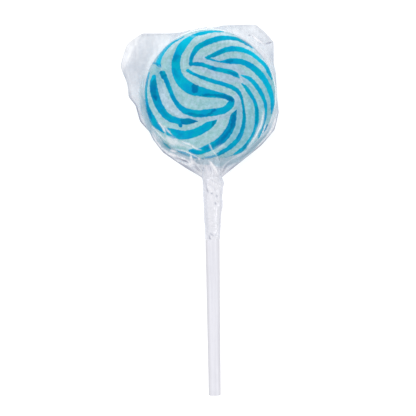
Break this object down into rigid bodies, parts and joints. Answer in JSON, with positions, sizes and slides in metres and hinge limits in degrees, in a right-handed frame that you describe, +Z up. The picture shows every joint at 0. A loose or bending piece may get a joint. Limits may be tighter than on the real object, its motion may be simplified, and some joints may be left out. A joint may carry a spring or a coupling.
{
  "type": "swirl lollipop",
  "caption": "Flat round striped candy disc on a straight tapered stick, in a clear film bag gathered round the stick, lying on its back.",
  "frame": {"origin": "on the resting plane, under the centre of the candy disc", "axes": "+Z up out of the shown face, stick along -Y, +X to the right of the shown face"},
  "size_m": [0.0566, 0.1333, 0.0104],
  "materials": {
    "candy": "glossy boiled sugar, pale aqua with blue ribbons",
    "stick": "satin white moulded plastic",
    "film": "thin clear crinkled film"
  },
  "bodies": {
    "root": {"candy_disc": "candy", "stick": "stick", "wrapper": "film"}
  },
  "joints": []
}
